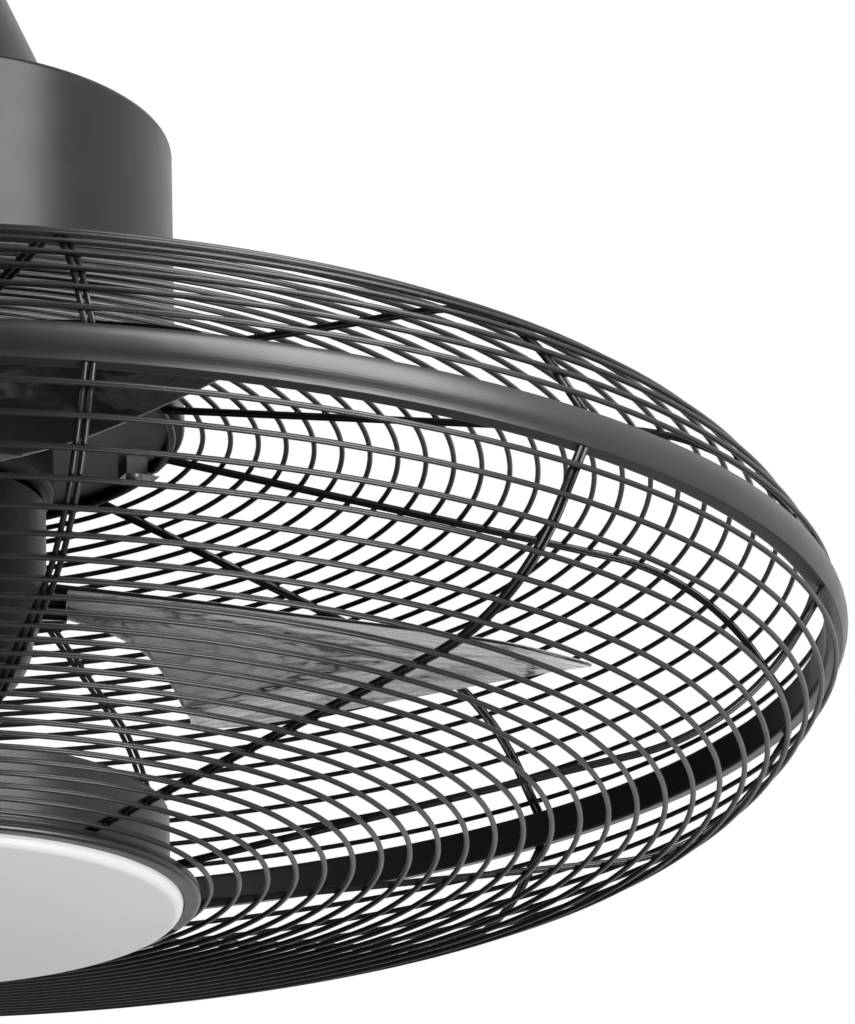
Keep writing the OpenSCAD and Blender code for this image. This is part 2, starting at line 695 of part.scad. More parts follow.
// the hub's outer wall: radius and height over the middle of the band
HUB_WALL = [[nose_r, nose_z], [hub_r - 2, root_z], [hub_r - 0.7, root_z + 8], [hub_r, root_z + 16]];
function wall_in_r(z) = nose_r - hub_wall + (z - nose_z) * (hub_r - 2 - nose_r) / (root_z - nose_z);
module hub_shell() {
    lip_r = 50;
    lip_t = 2;
    outer = concat(HUB_WALL, [[hub_r, shell_top], [hub_r - hub_wall, shell_top]]);
    inner = [for (i = [3:-1:1]) HUB_WALL[i] - [hub_wall, 0]];
    lip = [[wall_in_r(core_z), core_z], [lip_r, core_z], [lip_r, core_z - lip_t],
        [wall_in_r(core_z - lip_t), core_z - lip_t], [nose_r - hub_wall, nose_z]];
    color(black) translate([0, 0, equator]) difference() {
        rotate_extrude() polygon(concat(outer, inner, lip));
        on_circle(blade_count, 0, blade_turn) {
            // slot that lets the blade root in
            translate([hub_r - 8, -root_w / 2 - 0.2, root_z - 0.2]) cube([16, root_w + 0.4, root_h + 0.4]);
            // room in the lip for the outer screw's head
            translate([screw_ring[1], 0, core_z - lip_t - 1])
                cylinder(r = screw_head_r + pass_gap, h = lip_t + 2, $fn = 32);
        }
    }
}
// a quarter of an oval from the rim down to the nose's opening, of half widths a and b
function oval(a, b, n) = [for (i = [0:n]) [nose_in_r + a * cos(90 * i / n), nose_z - b * sin(90 * i / n)]];
module hub_nose() {
    spigot = nose_r - hub_wall - 0.1;
    outer = oval(nose_r - nose_in_r, nose_drop, 12);
    inner = oval(spigot - 2 - nose_in_r, nose_drop - 2.5, 12);
    rim = [[spigot - 2, nose_z + 3], [spigot, nose_z + 3], [spigot, nose_z]];
    color(black) translate([0, 0, equator]) rotate_extrude()
        polygon(concat(outer, [for (i = [12:-1:0]) inner[i]], rim));
}

// blade sections from the hub outwards: radius, then turn (degrees) and height of the leading edge
// and of the trailing edge
BLADE = [
    [65, -12, 33.4, 12.5, 30.6],
    [80, -12, 31.1, 16.7, 31],
    [100, -12, 28, 21.7, 31.3],
    [130, -12, 23.5, 29.6, 31.8],
    [160, -12, 18.4, 36.8, 31.3],
    [195, -12, 13, 43.5, 31],
    [222, -12, 8.2, 47.4, 34],
    [250, -12, 2.5, 51, 40],
    [281, -12, -7, 53, 46]];
function at_row(i) = BLADE[min(max(i, 0), len(BLADE) - 1)];
function spline(i, t) = let (p0 = at_row(i - 1), p1 = at_row(i), p2 = at_row(i + 1), p3 = at_row(i + 2))
    0.5 * (2 * p1 + (p2 - p0) * t + (2 * p0 - 5 * p1 + 4 * p2 - p3) * t * t + (3 * p1 - p0 - 3 * p2 + p3) * t * t * t);
// how far each edge draws in near the tip, so that its corners are round
function draw_in(r) = r <= tip_r - tip_corner ? 0
    : tip_corner * (1 - sqrt(max(0, 1 - pow((r - tip_r + tip_corner) / tip_corner, 2))));
half_points = 12;
// one closed section, as points in space; u runs from the leading edge (0) to the trailing edge (1)
function section_point(row, u, side) =
    let (r = row[0],
        low = [r * row[1] * PI / 180, row[2]],
        high = [r * row[3] * PI / 180, row[4]],
        chord = norm(high - low),
        along = (high - low) / chord,
        up = [-along[1], along[0]],
        inset = min(draw_in(r), chord / 2 - 1),
        q = inset + u * (chord - 2 * inset),
        v = q / chord,
        bow = camber * chord * 4 * v * (1 - v),
        half = blade_t / 2 * sqrt(max(0.02, sin(180 * u))),
        p = low + along * q + up * (bow + side * half),
        a = p[0] / r * 180 / PI)
    [r * cos(a), r * sin(a), p[1]];
function section(row) = concat(
    [for (k = [0:half_points]) section_point(row, (1 - cos(180 * k / half_points)) / 2, -1)],
    [for (k = [half_points:-1:0]) section_point(row, (1 - cos(180 * k / half_points)) / 2, 1)]);
steps = 2;
blade_in_r = hub_r + 1.5;
blade_scale = (tip_r - blade_in_r) / (BLADE[len(BLADE) - 1][0] - BLADE[0][0]);
function stretched(row) = [blade_in_r + (row[0] - BLADE[0][0]) * blade_scale, row[1], row[2], row[3], row[4]];
tip_rows = [for (k = [0.35, 0.6, 0.8, 0.93, 0.99]) tip_r - tip_corner * (1 - k)];
blade_rows = concat(
    [for (i = [0:len(BLADE) - 3], j = [0:steps - 1]) stretched(spline(i, j / steps))],
    [stretched(at_row(len(BLADE) - 2))],
    [for (r = concat([tip_r - tip_corner], tip_rows))
        let (t = (r - stretched(at_row(len(BLADE) - 2))[0]) / (tip_r - stretched(at_row(len(BLADE) - 2))[0]),
            s = stretched(spline(len(BLADE) - 2, t))) [r, s[1], s[2], s[3], s[4]]]);
module blade_skin() {
    n = 2 * (half_points + 1);
    m = len(blade_rows);
    points = [for (row = blade_rows) each section(row)];
    sides = [for (i = [0:m - 2], k = [0:n - 1]) each [
        [i * n + k, (i + 1) * n + k, i * n + (k + 1) % n],
        [(i + 1) * n + k, (i + 1) * n + (k + 1) % n, i * n + (k + 1) % n]]];
    foot = [for (k = [0:half_points - 1]) each [
        [k, k + 1, n - 1 - k], [k + 1, n - 2 - k, n - 1 - k]]];
    tip = [for (k = [0:half_points - 1]) let (b = (m - 1) * n) each [
        [b + k, b + n - 1 - k, b + k + 1], [b + k + 1, b + n - 1 - k, b + n - 2 - k]]];
    polyhedron(points = points, faces = concat(sides, foot, tip), convexity = 6);
}
module blade(i) {
    color(gloss) translate([0, 0, equator]) rotate([0, 0, blade_turn + i * 360 / blade_count]) difference() {
        union() {
            blade_skin();
            translate([root_in_r, -root_w / 2, root_z]) cube([root_out_r - root_in_r, root_w, root_h]);
        }
        for (x = screw_ring) translate([x, 0, root_z - 1]) cylinder(r = screw_hole_r, h = root_h + 2, $fn = 24);
    }
}

hanger_bracket();
canopy();
canopy_screws();
hanger_ball();
ball_pin();
downrod();
rod_coupling();
coupling_pin();
coupling_screws();
cone_cover();
cone_grommet();
motor_drum();
support_tube();
drum_pan();
pan_screws();
led_driver();
speed_receiver();
motor_cap();
motor_shaft();
stator_core();
stator_windings();
upper_outer_rings();
upper_inner_rings();
upper_ribs();
guard_clips();
equator_band();
lower_outer_rings();
lower_inner_rings();
lower_ribs();
light_stem();
light_housing();
shaft_nut();
led_board();
leds();
trim_ring();
diffuser();
rotor_can();
rotor_lid();
magnets();
upper_bearing();
lower_bearing();
hub_core();
clamp_ring();
hub_shell();
hub_nose();
blade_screws();
blade(0);  // blade_1
blade(1);  // blade_2
blade(2);  // blade_3
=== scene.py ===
"""Looks of a caged ceiling fan with a light, dressed over its packed construction. Metres, +Z up."""
import math

import bpy
from mathutils import Matrix, Vector


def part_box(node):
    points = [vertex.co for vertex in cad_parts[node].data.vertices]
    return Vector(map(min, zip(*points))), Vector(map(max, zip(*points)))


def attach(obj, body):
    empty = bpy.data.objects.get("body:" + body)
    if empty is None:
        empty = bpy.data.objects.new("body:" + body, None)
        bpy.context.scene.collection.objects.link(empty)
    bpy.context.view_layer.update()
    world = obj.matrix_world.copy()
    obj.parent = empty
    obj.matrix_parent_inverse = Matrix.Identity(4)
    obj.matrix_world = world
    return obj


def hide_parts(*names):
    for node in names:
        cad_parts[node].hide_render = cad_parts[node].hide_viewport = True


bl_info = {
    "name": "Caged Ceiling Fan",
    "version": (1, 0, 0),
    "blender": (4, 5, 0),
    "location": "View3D > Sidebar > Ceiling Fan",
    "description": "Dresses a caged ceiling fan: wire cage, wide twisted blades, coated drum and opal light",
    "category": "Add Mesh",
}

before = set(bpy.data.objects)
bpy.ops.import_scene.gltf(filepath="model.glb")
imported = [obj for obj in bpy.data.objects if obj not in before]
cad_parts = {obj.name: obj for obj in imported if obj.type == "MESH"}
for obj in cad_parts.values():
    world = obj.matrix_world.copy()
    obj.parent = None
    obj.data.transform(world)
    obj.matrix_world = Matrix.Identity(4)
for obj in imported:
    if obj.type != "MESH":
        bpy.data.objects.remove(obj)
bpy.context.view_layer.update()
MM = 0.001
FULL_TURN = 2 * math.pi

BAND_LOW, BAND_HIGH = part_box("equator_band")
BAND_R = BAND_HIGH.x
BAND_H = BAND_HIGH.z - BAND_LOW.z
EQUATOR = (BAND_HIGH.z + BAND_LOW.z) / 2


# ---- properties ----
class CageSettings(bpy.types.PropertyGroup):
    """Sizes of the wire cage"""

    wire_d: bpy.props.FloatProperty(
        name="Wire", description="Wire diameter of the rings and ribs",
        default=2.2 * MM, min=1 * MM, unit="LENGTH")
    hoop_d: bpy.props.FloatProperty(
        name="Hoop wire", description="Wire diameter of the hoops",
        default=3.6 * MM, min=1 * MM, unit="LENGTH")
    hoop_r: bpy.props.FloatProperty(
        name="Hoop radius", description="Radius of the hoops that end the ribs",
        default=114 * MM, unit="LENGTH")
    ring_count: bpy.props.IntProperty(
        name="Rings", description="Rings in each half of the cage", default=25, min=3)
    rib_count: bpy.props.IntProperty(
        name="Rib pairs", description="Pairs of rib wires in each half", default=12, min=3)
    rib_turn: bpy.props.FloatProperty(
        name="First rib", description="Turn of the first rib pair from +X",
        default=math.radians(-81), subtype="ANGLE")
    rib_gap: bpy.props.FloatProperty(
        name="Rib gap", description="Gap between the two wires of a pair",
        default=0.6 * MM, unit="LENGTH")
    inner_ring_r: bpy.props.FloatProperty(
        name="Innermost ring", description="Radius of the innermost ring",
        default=126.7 * MM, unit="LENGTH")
    first_in: bpy.props.FloatProperty(
        name="First ring, inwards", description="From the band's outside to the first ring's centre",
        default=5.4 * MM, unit="LENGTH")
    first_up: bpy.props.FloatProperty(
        name="First ring, off the band", description="From the band's edge to the first ring's centre",
        default=6.1 * MM, unit="LENGTH")
    steep_angle: bpy.props.FloatProperty(
        name="Steep slope", description="Slope of the ribs next to the band",
        default=math.radians(57), subtype="ANGLE")
    steep_l: bpy.props.FloatProperty(
        name="Steep length", description="Length of the steep stretch",
        default=14 * MM, unit="LENGTH")
    shoulder_r: bpy.props.FloatProperty(
        name="Shoulder", description="Bend radius of the cage's shoulder",
        default=94 * MM, unit="LENGTH")
    upper_dish: bpy.props.FloatProperty(
        name="Upper dish", description="Slope of the upper dish",
        default=math.radians(9.2), subtype="ANGLE")
    lower_dish: bpy.props.FloatProperty(
        name="Lower dish", description="Slope of the lower dish",
        default=math.radians(8), subtype="ANGLE")
    weld: bpy.props.FloatProperty(
        name="Weld", description="How deep a ring sinks into a rib",
        default=0.3 * MM, unit="LENGTH")


class BladeSettings(bpy.types.PropertyGroup):
    """Sizes of the three blades"""

    count: bpy.props.IntProperty(name="Blades", description="Number of blades", default=3, min=2)
    turn: bpy.props.FloatProperty(
        name="First blade", description="Turn of the first blade from +X",
        default=math.radians(-114.4), subtype="ANGLE")
    tip_r: bpy.props.FloatProperty(
        name="Tip radius", description="Radius of the blade tips",
        default=281 * MM, unit="LENGTH")
    thickness: bpy.props.FloatProperty(
        name="Thickness", description="Blade thickness at its middle",
        default=3.2 * MM, unit="LENGTH")
    camber: bpy.props.FloatProperty(
        name="Camber", description="Bow of a blade as a share of its chord", default=0.045)
    tip_corner: bpy.props.FloatProperty(
        name="Tip corner", description="Corner radius of a blade tip",
        default=26 * MM, unit="LENGTH")


class FinishSettings(bpy.types.PropertyGroup):
    """Colours and gloss of the visible finishes"""

    coat: bpy.props.FloatVectorProperty(
        name="Powder coat", description="Colour of the satin powder coat",
        size=3, subtype="COLOR", default=(0.012, 0.0125, 0.0135), min=0, max=1)
    coat_roughness: bpy.props.FloatProperty(
        name="Coat roughness", description="Roughness of the powder coat", default=0.34, min=0, max=1)
    blade: bpy.props.FloatVectorProperty(
        name="Blade", description="Colour of the moulded blades",
        size=3, subtype="COLOR", default=(0.008, 0.0085, 0.009), min=0, max=1)
    blade_roughness: bpy.props.FloatProperty(
        name="Blade roughness", description="Roughness of the moulded blades",
        default=0.09, min=0, max=1)
    opal: bpy.props.FloatVectorProperty(
        name="Opal", description="Colour of the unlit diffuser",
        size=3, subtype="COLOR", default=(0.70, 0.695, 0.685), min=0, max=1)


class StageSettings(bpy.types.PropertyGroup):
    """Light and camera"""

    key_power: bpy.props.FloatProperty(
        name="Key light", description="Power of the tall soft box", default=16, min=0, unit="POWER")
    fill_power: bpy.props.FloatProperty(
        name="Fill light", description="Power of the fill light", default=22, min=0, unit="POWER")
    low_power: bpy.props.FloatProperty(
        name="Low light", description="Power of the light from below on the right",
        default=16, min=0, unit="POWER")
    orbit: bpy.props.FloatProperty(
        name="Orbit", description="Camera's turn about the fan's axis, which sets where the ribs fall",
        default=math.radians(-1.35), subtype="ANGLE")
    lens: bpy.props.FloatProperty(
        name="Lens", description="Focal length on a 36 mm sensor", default=198.21, min=1, unit="CAMERA")
    camera_x: bpy.props.FloatProperty(
        name="Camera across", description="Camera's place to the right of the fan's axis",
        default=2.2 * MM, unit="LENGTH")
    camera_back: bpy.props.FloatProperty(
        name="Camera back", description="Camera's distance in front of the axis",
        default=2.1414, unit="LENGTH")
    camera_down: bpy.props.FloatProperty(
        name="Camera down", description="Camera's depth under the cage's band",
        default=0.6613, unit="LENGTH")
    yaw: bpy.props.FloatProperty(
        name="Yaw", description="Camera's turn to the right",
        default=math.radians(5.7273), subtype="ANGLE")
    pitch: bpy.props.FloatProperty(
        name="Pitch", description="Camera's tilt upwards",
        default=math.radians(18.6748), subtype="ANGLE")
    roll: bpy.props.FloatProperty(
        name="Roll", description="Camera's roll", default=math.radians(-1.7847), subtype="ANGLE")


# ---- materials ----
# the grey values between which most of a noise lies
NOISE_LOW, NOISE_HIGH = 0.3, 0.7


def new_material(name):
    """A material with its node tree, its shader and its object coordinates."""
    material = bpy.data.materials.new(name)
    material.use_nodes = True
    tree = material.node_tree
    coords = tree.nodes.new("ShaderNodeTexCoord").outputs["Object"]
    return material, tree, tree.nodes["Principled BSDF"], coords


def noise(tree, coords, scale, detail):
    """A grey noise."""
    node = tree.nodes.new("ShaderNodeTexNoise")
    node.inputs["Scale"].default_value = scale
    node.inputs["Detail"].default_value = detail
    tree.links.new(coords, node.inputs["Vector"])
    return node.outputs["Fac"]


def tones(tree, grey, low, high):
    """Maps a grey value to a range of colours."""
    node = tree.nodes.new("ShaderNodeValToRGB")
    node.color_ramp.elements[0].position = NOISE_LOW
    node.color_ramp.elements[1].position = NOISE_HIGH
    node.color_ramp.elements[0].color = (*low, 1)
    node.color_ramp.elements[1].color = (*high, 1)
    tree.links.new(grey, node.inputs["Fac"])
    return node.outputs["Color"]


def spread(tree, grey, low, high):
    """Maps a grey value to a range of numbers."""
    node = tree.nodes.new("ShaderNodeMapRange")
    node.inputs["From Min"].default_value = NOISE_LOW
    node.inputs["From Max"].default_value = NOISE_HIGH
    node.inputs["To Min"].default_value = low
    node.inputs["To Max"].default_value = high
    tree.links.new(grey, node.inputs["Value"])
    return node.outputs["Result"]


def bump(tree, grey, height, strength, under=None):
    """Relief from a grey value, on top of the relief under it."""
    node = tree.nodes.new("ShaderNodeBump")
    node.inputs["Distance"].default_value = height
    node.inputs["Strength"].default_value = strength
    tree.links.new(grey, node.inputs["Height"])
    if under is not None:
        tree.links.new(under, node.inputs["Normal"])
    return node.outputs["Normal"]


def tinted(colour, factor):
    """A colour made darker or lighter."""
    return tuple(min(1.0, c * factor) for c in colour)


def new_finish(name, base, tone, rough, relief):
    """A material that varies in tone and roughness, with layers of relief, the broadest first.

    Each of these begins with its noise's scale and detail. Then tone gives the darkest and the
    lightest share of the base colour, rough the lowest and the highest roughness, and a layer of
    relief its height and strength.
    """
    material, tree, shader, coords = new_material(name)
    scale, detail, dark, light = tone
    grey = noise(tree, coords, scale, detail)
    tree.links.new(tones(tree, grey, tinted(base, dark), tinted(base, light)), shader.inputs["Base Color"])
    scale, detail, low, high = rough
    grey = noise(tree, coords, scale, detail)
    tree.links.new(spread(tree, grey, low, high), shader.inputs["Roughness"])
    normal = None
    for scale, detail, height, strength in relief:
        normal = bump(tree, noise(tree, coords, scale, detail), height, strength, normal)
    tree.links.new(normal, shader.inputs["Normal"])
    return material, shader


def powder_coat(name, finish, share=1.0, shift=0.0, shine=0.5):
    """Satin powder coat with a faint orange peel: a share of its colour, its roughness shifted."""
    rough = finish.coat_roughness + shift
    material, shader = new_finish(
        name, tinted(finish.coat, share), tone=(18, 4, 0.88, 1.14),
        rough=(60, 3, rough - 0.03, rough + 0.03), relief=[(1100, 2, 0.02 * MM, 0.35)])
    shader.inputs["Specular IOR Level"].default_value = shine
    return material


def moulded_gloss(name, finish):
    """Glossy black moulding with slow waves in its surface."""
    rough = finish.blade_roughness
    material, shader = new_finish(
        name, finish.blade, tone=(25, 2, 0.9, 1.15), rough=(90, 3, rough - 0.02, rough + 0.03),
        relief=[(60, 1.5, 2.0 * MM, 0.5), (900, 2, 0.01 * MM, 0.3)])
    shader.inputs["Coat Weight"].default_value = 0.3
    shader.inputs["Coat Roughness"].default_value = 0.04
    return material


def opal_acrylic(name, finish):
    """Unlit opal acrylic: an even, milky body with a soft skin."""
    material, shader = new_finish(
        name, finish.opal, tone=(14, 3, 0.985, 1.01), rough=(300, 2, 0.42, 0.48),
        relief=[(1500, 2, 0.01 * MM, 0.3)])
    shader.inputs["Subsurface Weight"].default_value = 0.15
    shader.inputs["Subsurface Radius"].default_value = (4 * MM, 4 * MM, 4 * MM)
    return material


def plated_steel(name, colour, roughness, grain=500):
    """Plated or ground steel with a fine grain."""
    material, shader = new_finish(
        name, colour, tone=(40, 4, 0.88, 1.08), rough=(grain, 3, roughness - 0.05, roughness + 0.08),
        relief=[(grain * 2, 2, 0.01 * MM, 0.4)])
    shader.inputs["Metallic"].default_value = 1.0
    return material


def plain_moulding(name, colour, roughness):
    """A moulded or cast surface with a fine texture."""
    return new_finish(
        name, colour, tone=(50, 3, 0.9, 1.08), rough=(120, 2, roughness - 0.04, roughness + 0.04),
        relief=[(400, 3, 0.02 * MM, 0.4)])[0]


def finish_nodes(material, *nodes):
    """Gives CAD nodes a finish."""
    for name in nodes:
        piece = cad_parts[name]
        piece.data.materials.clear()
        piece.data.materials.append(material)


# ---- meshes ----
RING_STEPS = 240
WIRE_SIDES = 12
HOOP_SIDES = 16
BEAD_SIDES, BEAD_STEPS = 8, 4


def add_piece(name, points, faces, material, body, replaced=()):
    """A smooth mesh piece in the row's frame that rides on a body."""
    mesh = bpy.data.meshes.new(name)
    mesh.from_pydata(points, [], faces)
    mesh.validate()
    for polygon in mesh.polygons:
        polygon.use_smooth = True
    mesh.materials.append(material)
    piece = bpy.data.objects.new(name, mesh)
    bpy.context.scene.collection.objects.link(piece)
    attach(piece, body)
    if replaced:
        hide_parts(*replaced)


def turned(point, angle):
    """A point turned about the fan's axis."""
    c, s = math.cos(angle), math.sin(angle)
    return (point[0] * c - point[1] * s, point[0] * s + point[1] * c, point[2])


def skin(faces, first, rows, sides, closed=False):
    """Adds the faces of a tube whose points come row by row, and its two ends unless it is closed."""
    for i in range(rows if closed else rows - 1):
        here, there = first + i * sides, first + (i + 1) % rows * sides
        for k in range(sides):
            faces.append((here + k, there + k, there + (k + 1) % sides, here + (k + 1) % sides))
    if not closed:
        faces.append([first + k for k in range(sides)])
        faces.append([first + (rows - 1) * sides + k for k in reversed(range(sides))])


def ring_mesh(points, faces, r, z, wire_r, sides=WIRE_SIDES):
    """Adds a closed ring of round wire about the fan's axis."""
    first = len(points)
    for i in range(RING_STEPS):
        angle = FULL_TURN * i / RING_STEPS
        for k in range(sides):
            a = FULL_TURN * (k + 0.5) / sides
            points.append(turned((r + wire_r * math.cos(a), 0, z + wire_r * math.sin(a)), angle))
    skin(faces, first, RING_STEPS, sides, closed=True)


def wire_mesh(points, faces, path, wire_r, sideways, turn):
    """Adds a bent wire along a path of (radius, height) points in the plane of one rib."""
    first, last = len(points), len(path) - 1
    for i, (r, z) in enumerate(path):
        before, after = path[max(i - 1, 0)], path[min(i + 1, last)]
        along = Vector((after[0] - before[0], after[1] - before[1])).normalized()
        for k in range(WIRE_SIDES):
            a = FULL_TURN * k / WIRE_SIDES
            off = wire_r * math.cos(a)
            spot = (r - along.y * off, sideways + wire_r * math.sin(a), z + along.x * off)
            points.append(turned(spot, turn))
    skin(faces, first, len(path), WIRE_SIDES)


def bead_mesh(points, faces, centre, radius):
    """Adds a small round weld bead."""
    first = len(points)
    x, y, z = centre
    for i in range(1, BEAD_STEPS):
        a = math.pi * i / BEAD_STEPS
        for k in range(BEAD_SIDES):
            b = FULL_TURN * k / BEAD_SIDES
            points.append((x + radius * math.sin(a) * math.cos(b), y + radius * math.sin(a) * math.sin(b),
                           z + radius * math.cos(a)))
    top, low = len(points), len(points) + 1
    points.extend([(x, y, z + radius), (x, y, z - radius)])
    last = first + (BEAD_STEPS - 2) * BEAD_SIDES
    for k in range(BEAD_SIDES):
        m = (k + 1) % BEAD_SIDES
        faces.append((top, first + k, first + m))
        faces.append((low, last + m, last + k))
        for i in range(BEAD_STEPS - 2):
            here, there = first + i * BEAD_SIDES, first + (i + 1) * BEAD_SIDES
            faces.append((here + k, there + k, there + m, here + m))


# ---- wire cage ----
# how far a rib wire runs on into the band, and the points on its bend
RIB_REACH = 6.8 * MM
BEND_STEPS = 20
# keeps the last of these points on the bend
BEND_SHARE = 0.99999
BEAD_R = 0.75 * MM
# how far a bead sits to the side of its rib wire's middle, as a share of the wire
BEAD_ASIDE = 0.42


def inwards(slope):
    """The way along a wire that rises towards the axis at a slope, as (radius, height)."""
    return Vector((-math.cos(slope), math.sin(slope)))


def outwards(slope):
    """The way straight out of the cage where it has that slope."""
    return Vector((math.sin(slope), math.cos(slope)))


class CageProfile:
    """The profile of one half: steep stretch, shoulder bend and dish.

    way is 1 for the upper half and -1 for the lower one.
    """

    def __init__(self, cage, way):
        self.cage, self.way = cage, way
        self.dish = cage.upper_dish if way > 0 else cage.lower_dish
        self.rib_depth = cage.wire_d - cage.weld
        self.first = Vector((BAND_R - cage.first_in, BAND_H / 2 + cage.first_up))
        corner = self.first + cage.steep_l * inwards(cage.steep_angle)
        self.centre = corner - cage.shoulder_r * outwards(cage.steep_angle)
        self.bend_l = cage.shoulder_r * (cage.steep_angle - self.dish)
        self.foot = self.on_bend(self.dish)
        dish_l = (self.foot.x - cage.inner_ring_r) / math.cos(self.dish)
        self.length = cage.steep_l + self.bend_l + dish_l

    def on_bend(self, slope):
        """The point of the shoulder's bend that has a slope."""
        return self.centre + self.cage.shoulder_r * outwards(slope)

    def at(self, s):
        """The point at length s from the first ring, and the slope there."""
        cage = self.cage
        if s < cage.steep_l:
            return self.first + s * inwards(cage.steep_angle), cage.steep_angle
        if s < cage.steep_l + self.bend_l:
            slope = cage.steep_angle - (s - cage.steep_l) / cage.shoulder_r
            return self.on_bend(slope), slope
        return self.foot + (s - cage.steep_l - self.bend_l) * inwards(self.dish), self.dish

    def inside(self, s, depth):
        """The point that lies a depth inside the rings' centres at length s."""
        point, slope = self.at(s)
        return point - depth * outwards(slope)

    def ring_at(self, i):
        """The length from the first ring to ring i."""
        return i * self.length / (self.cage.ring_count - 1)

    def hoop(self):
        """Centre of the hoop's wire, where the rib wires end."""
        hoop_r = self.cage.hoop_r
        on_dish = self.foot + (self.foot.x - hoop_r) / math.cos(self.dish) * inwards(self.dish)
        return Vector((hoop_r, (on_dish - self.rib_depth * outwards(self.dish)).y))

    def placed(self, point):
        """Profile coordinates to a radius and a height in the row's frame."""
        return point.x, EQUATOR + self.way * point.y


def rib_wires(cage):
    """The turn of each rib wire about the axis and its offset to the side, pair by pair."""
    offset = (cage.wire_d + cage.rib_gap) / 2
    for i in range(cage.rib_count):
        for side in (-1, 1):
            yield cage.rib_turn + FULL_TURN * i / cage.rib_count, side * offset


def rib_path(profile):
    """The path of a rib wire from inside the band to the hoop."""
    cage = profile.cage
    start = profile.inside(0, profile.rib_depth) - RIB_REACH * inwards(cage.steep_angle)
    lengths = [cage.steep_l + profile.bend_l * i / BEND_STEPS * BEND_SHARE for i in range(BEND_STEPS + 1)]
    bend = [profile.inside(s, profile.rib_depth) for s in lengths]
    return [profile.placed(point) for point in [start, *bend, profile.hoop()]]


def build_rings(profile, material, name, nodes):
    """All rings of one half and its hoop as one piece."""
    cage = profile.cage
    points, faces = [], []
    for i in range(cage.ring_count):
        centre = profile.at(profile.ring_at(i))[0]
        ring_mesh(points, faces, *profile.placed(centre), cage.wire_d / 2)
    ring_mesh(points, faces, *profile.placed(profile.hoop()), cage.hoop_d / 2, HOOP_SIDES)
    add_piece(name, points, faces, material, "fan_body", nodes)


def build_ribs(profile, material, name, node):
    """The pairs of bent wires that carry the rings of one half."""
    path = rib_path(profile)
    points, faces = [], []
    for turn, sideways in rib_wires(profile.cage):
        wire_mesh(points, faces, path, profile.cage.wire_d / 2, sideways, turn)
    add_piece(name, points, faces, material, "fan_body", (node,))


def build_beads(profile, material, name):
    """Two weld beads, one on each side, where each ring crosses each rib wire."""
    cage = profile.cage
    points, faces = [], []
    for i in range(cage.ring_count):
        r, z = profile.placed(profile.inside(profile.ring_at(i), profile.rib_depth / 2))
        for turn, sideways in rib_wires(cage):
            for edge in (-1, 1):
                spot = (r, sideways + edge * BEAD_ASIDE * cage.wire_d, z)
                bead_mesh(points, faces, turned(spot, turn), BEAD_R)
    add_piece(name, points, faces, material, "fan_body")


class FAN_OT_cage(bpy.types.Operator):
    """Builds the wire cage: rings, rib pairs, hoops and welds of both halves, and coats the band"""

    bl_idname = "fan.cage"
    bl_label = "Wire cage"

    def execute(self, context):
        finish = context.scene.fan_finish
        coat = powder_coat("wire_coat", finish, share=0.7, shine=0.4)
        for half, way in (("upper", 1), ("lower", -1)):
            profile = CageProfile(context.scene.fan_cage, way)
            build_rings(profile, coat, half + "_rings", (half + "_outer_rings", half + "_inner_rings"))
            build_ribs(profile, coat, half + "_rib_wires", half + "_ribs")
            build_beads(profile, coat, half + "_welds")
        finish_nodes(powder_coat("band_coat", finish, shine=0.45), "equator_band")
        return {"FINISHED"}


# ---- blades ----
# blade sections from the hub outwards, in mm: radius, then turn (degrees) and height of the edge
# that is lower at the tip, then the same of the other edge
BLADE = (
    (65, -12, 33.4, 12.5, 30.6),
    (80, -12, 31.1, 16.7, 31),
    (100, -12, 28, 21.7, 31.3),
    (130, -12, 23.5, 29.6, 31.8),
    (160, -12, 18.4, 36.8, 31.3),
    (195, -12, 13, 43.5, 31),
    (222, -12, 8.2, 47.4, 34),
    (250, -12, 2.5, 51, 40),
    (281, -12, -7, 53, 46),
)
# rows of points from the hub to the tip's corner and round the corner, and points across each face
BLADE_ROWS, CORNER_ROWS = 70, 14
BLADE_ACROSS = 40
# keeps the blade's edges round; the smaller, the blunter
EDGE_SHARPNESS = 0.35
# least half length of a section in the tip's corners, in mm
LEAST_HALF = 1
# halvings of the search for the section at a radius, and what rounding may add to a radius
SEARCH_STEPS = 30
ROUNDING = 1e-9
# the block by which the hub clamps a blade, its heights from the equator
ROOT_IN, ROOT_OUT = 36 * MM, 71.5 * MM
ROOT_W, ROOT_Z, ROOT_H = 14 * MM, 20 * MM, 16 * MM
ROOT_EDGE = 0.8 * MM
ROOT_SIDES = 8


def station(i):
    """The row of the table nearest to i."""
    return BLADE[min(max(i, 0), len(BLADE) - 1)]


def spline(i, t):
    """A smooth section between stations i and i + 1."""
    rows = (station(k) for k in range(i - 1, i + 3))
    return [0.5 * (2 * b + (c - a) * t + (2 * a - 5 * b + 4 * c - d) * t * t
                   + (3 * b - a - 3 * c + d) * t ** 3) for a, b, c, d in zip(*rows)]


def section_at(r, tip_r):
    """The section at radius r, in mm, with the stations stretched to the tip radius."""
    root, end = BLADE[0][0], BLADE[-1][0]
    scale = (tip_r - root) / (end - root)
    radii = [root + (row[0] - root) * scale for row in BLADE]
    i = max(k for k in range(len(BLADE) - 1) if radii[k] <= r + ROUNDING)
    low, high = 0.0, 1.0
    for _step in range(SEARCH_STEPS):
        t = (low + high) / 2
        if root + (spline(i, t)[0] - root) * scale < r:
            low = t
        else:
            high = t
    return spline(i, (low + high) / 2)[1:]


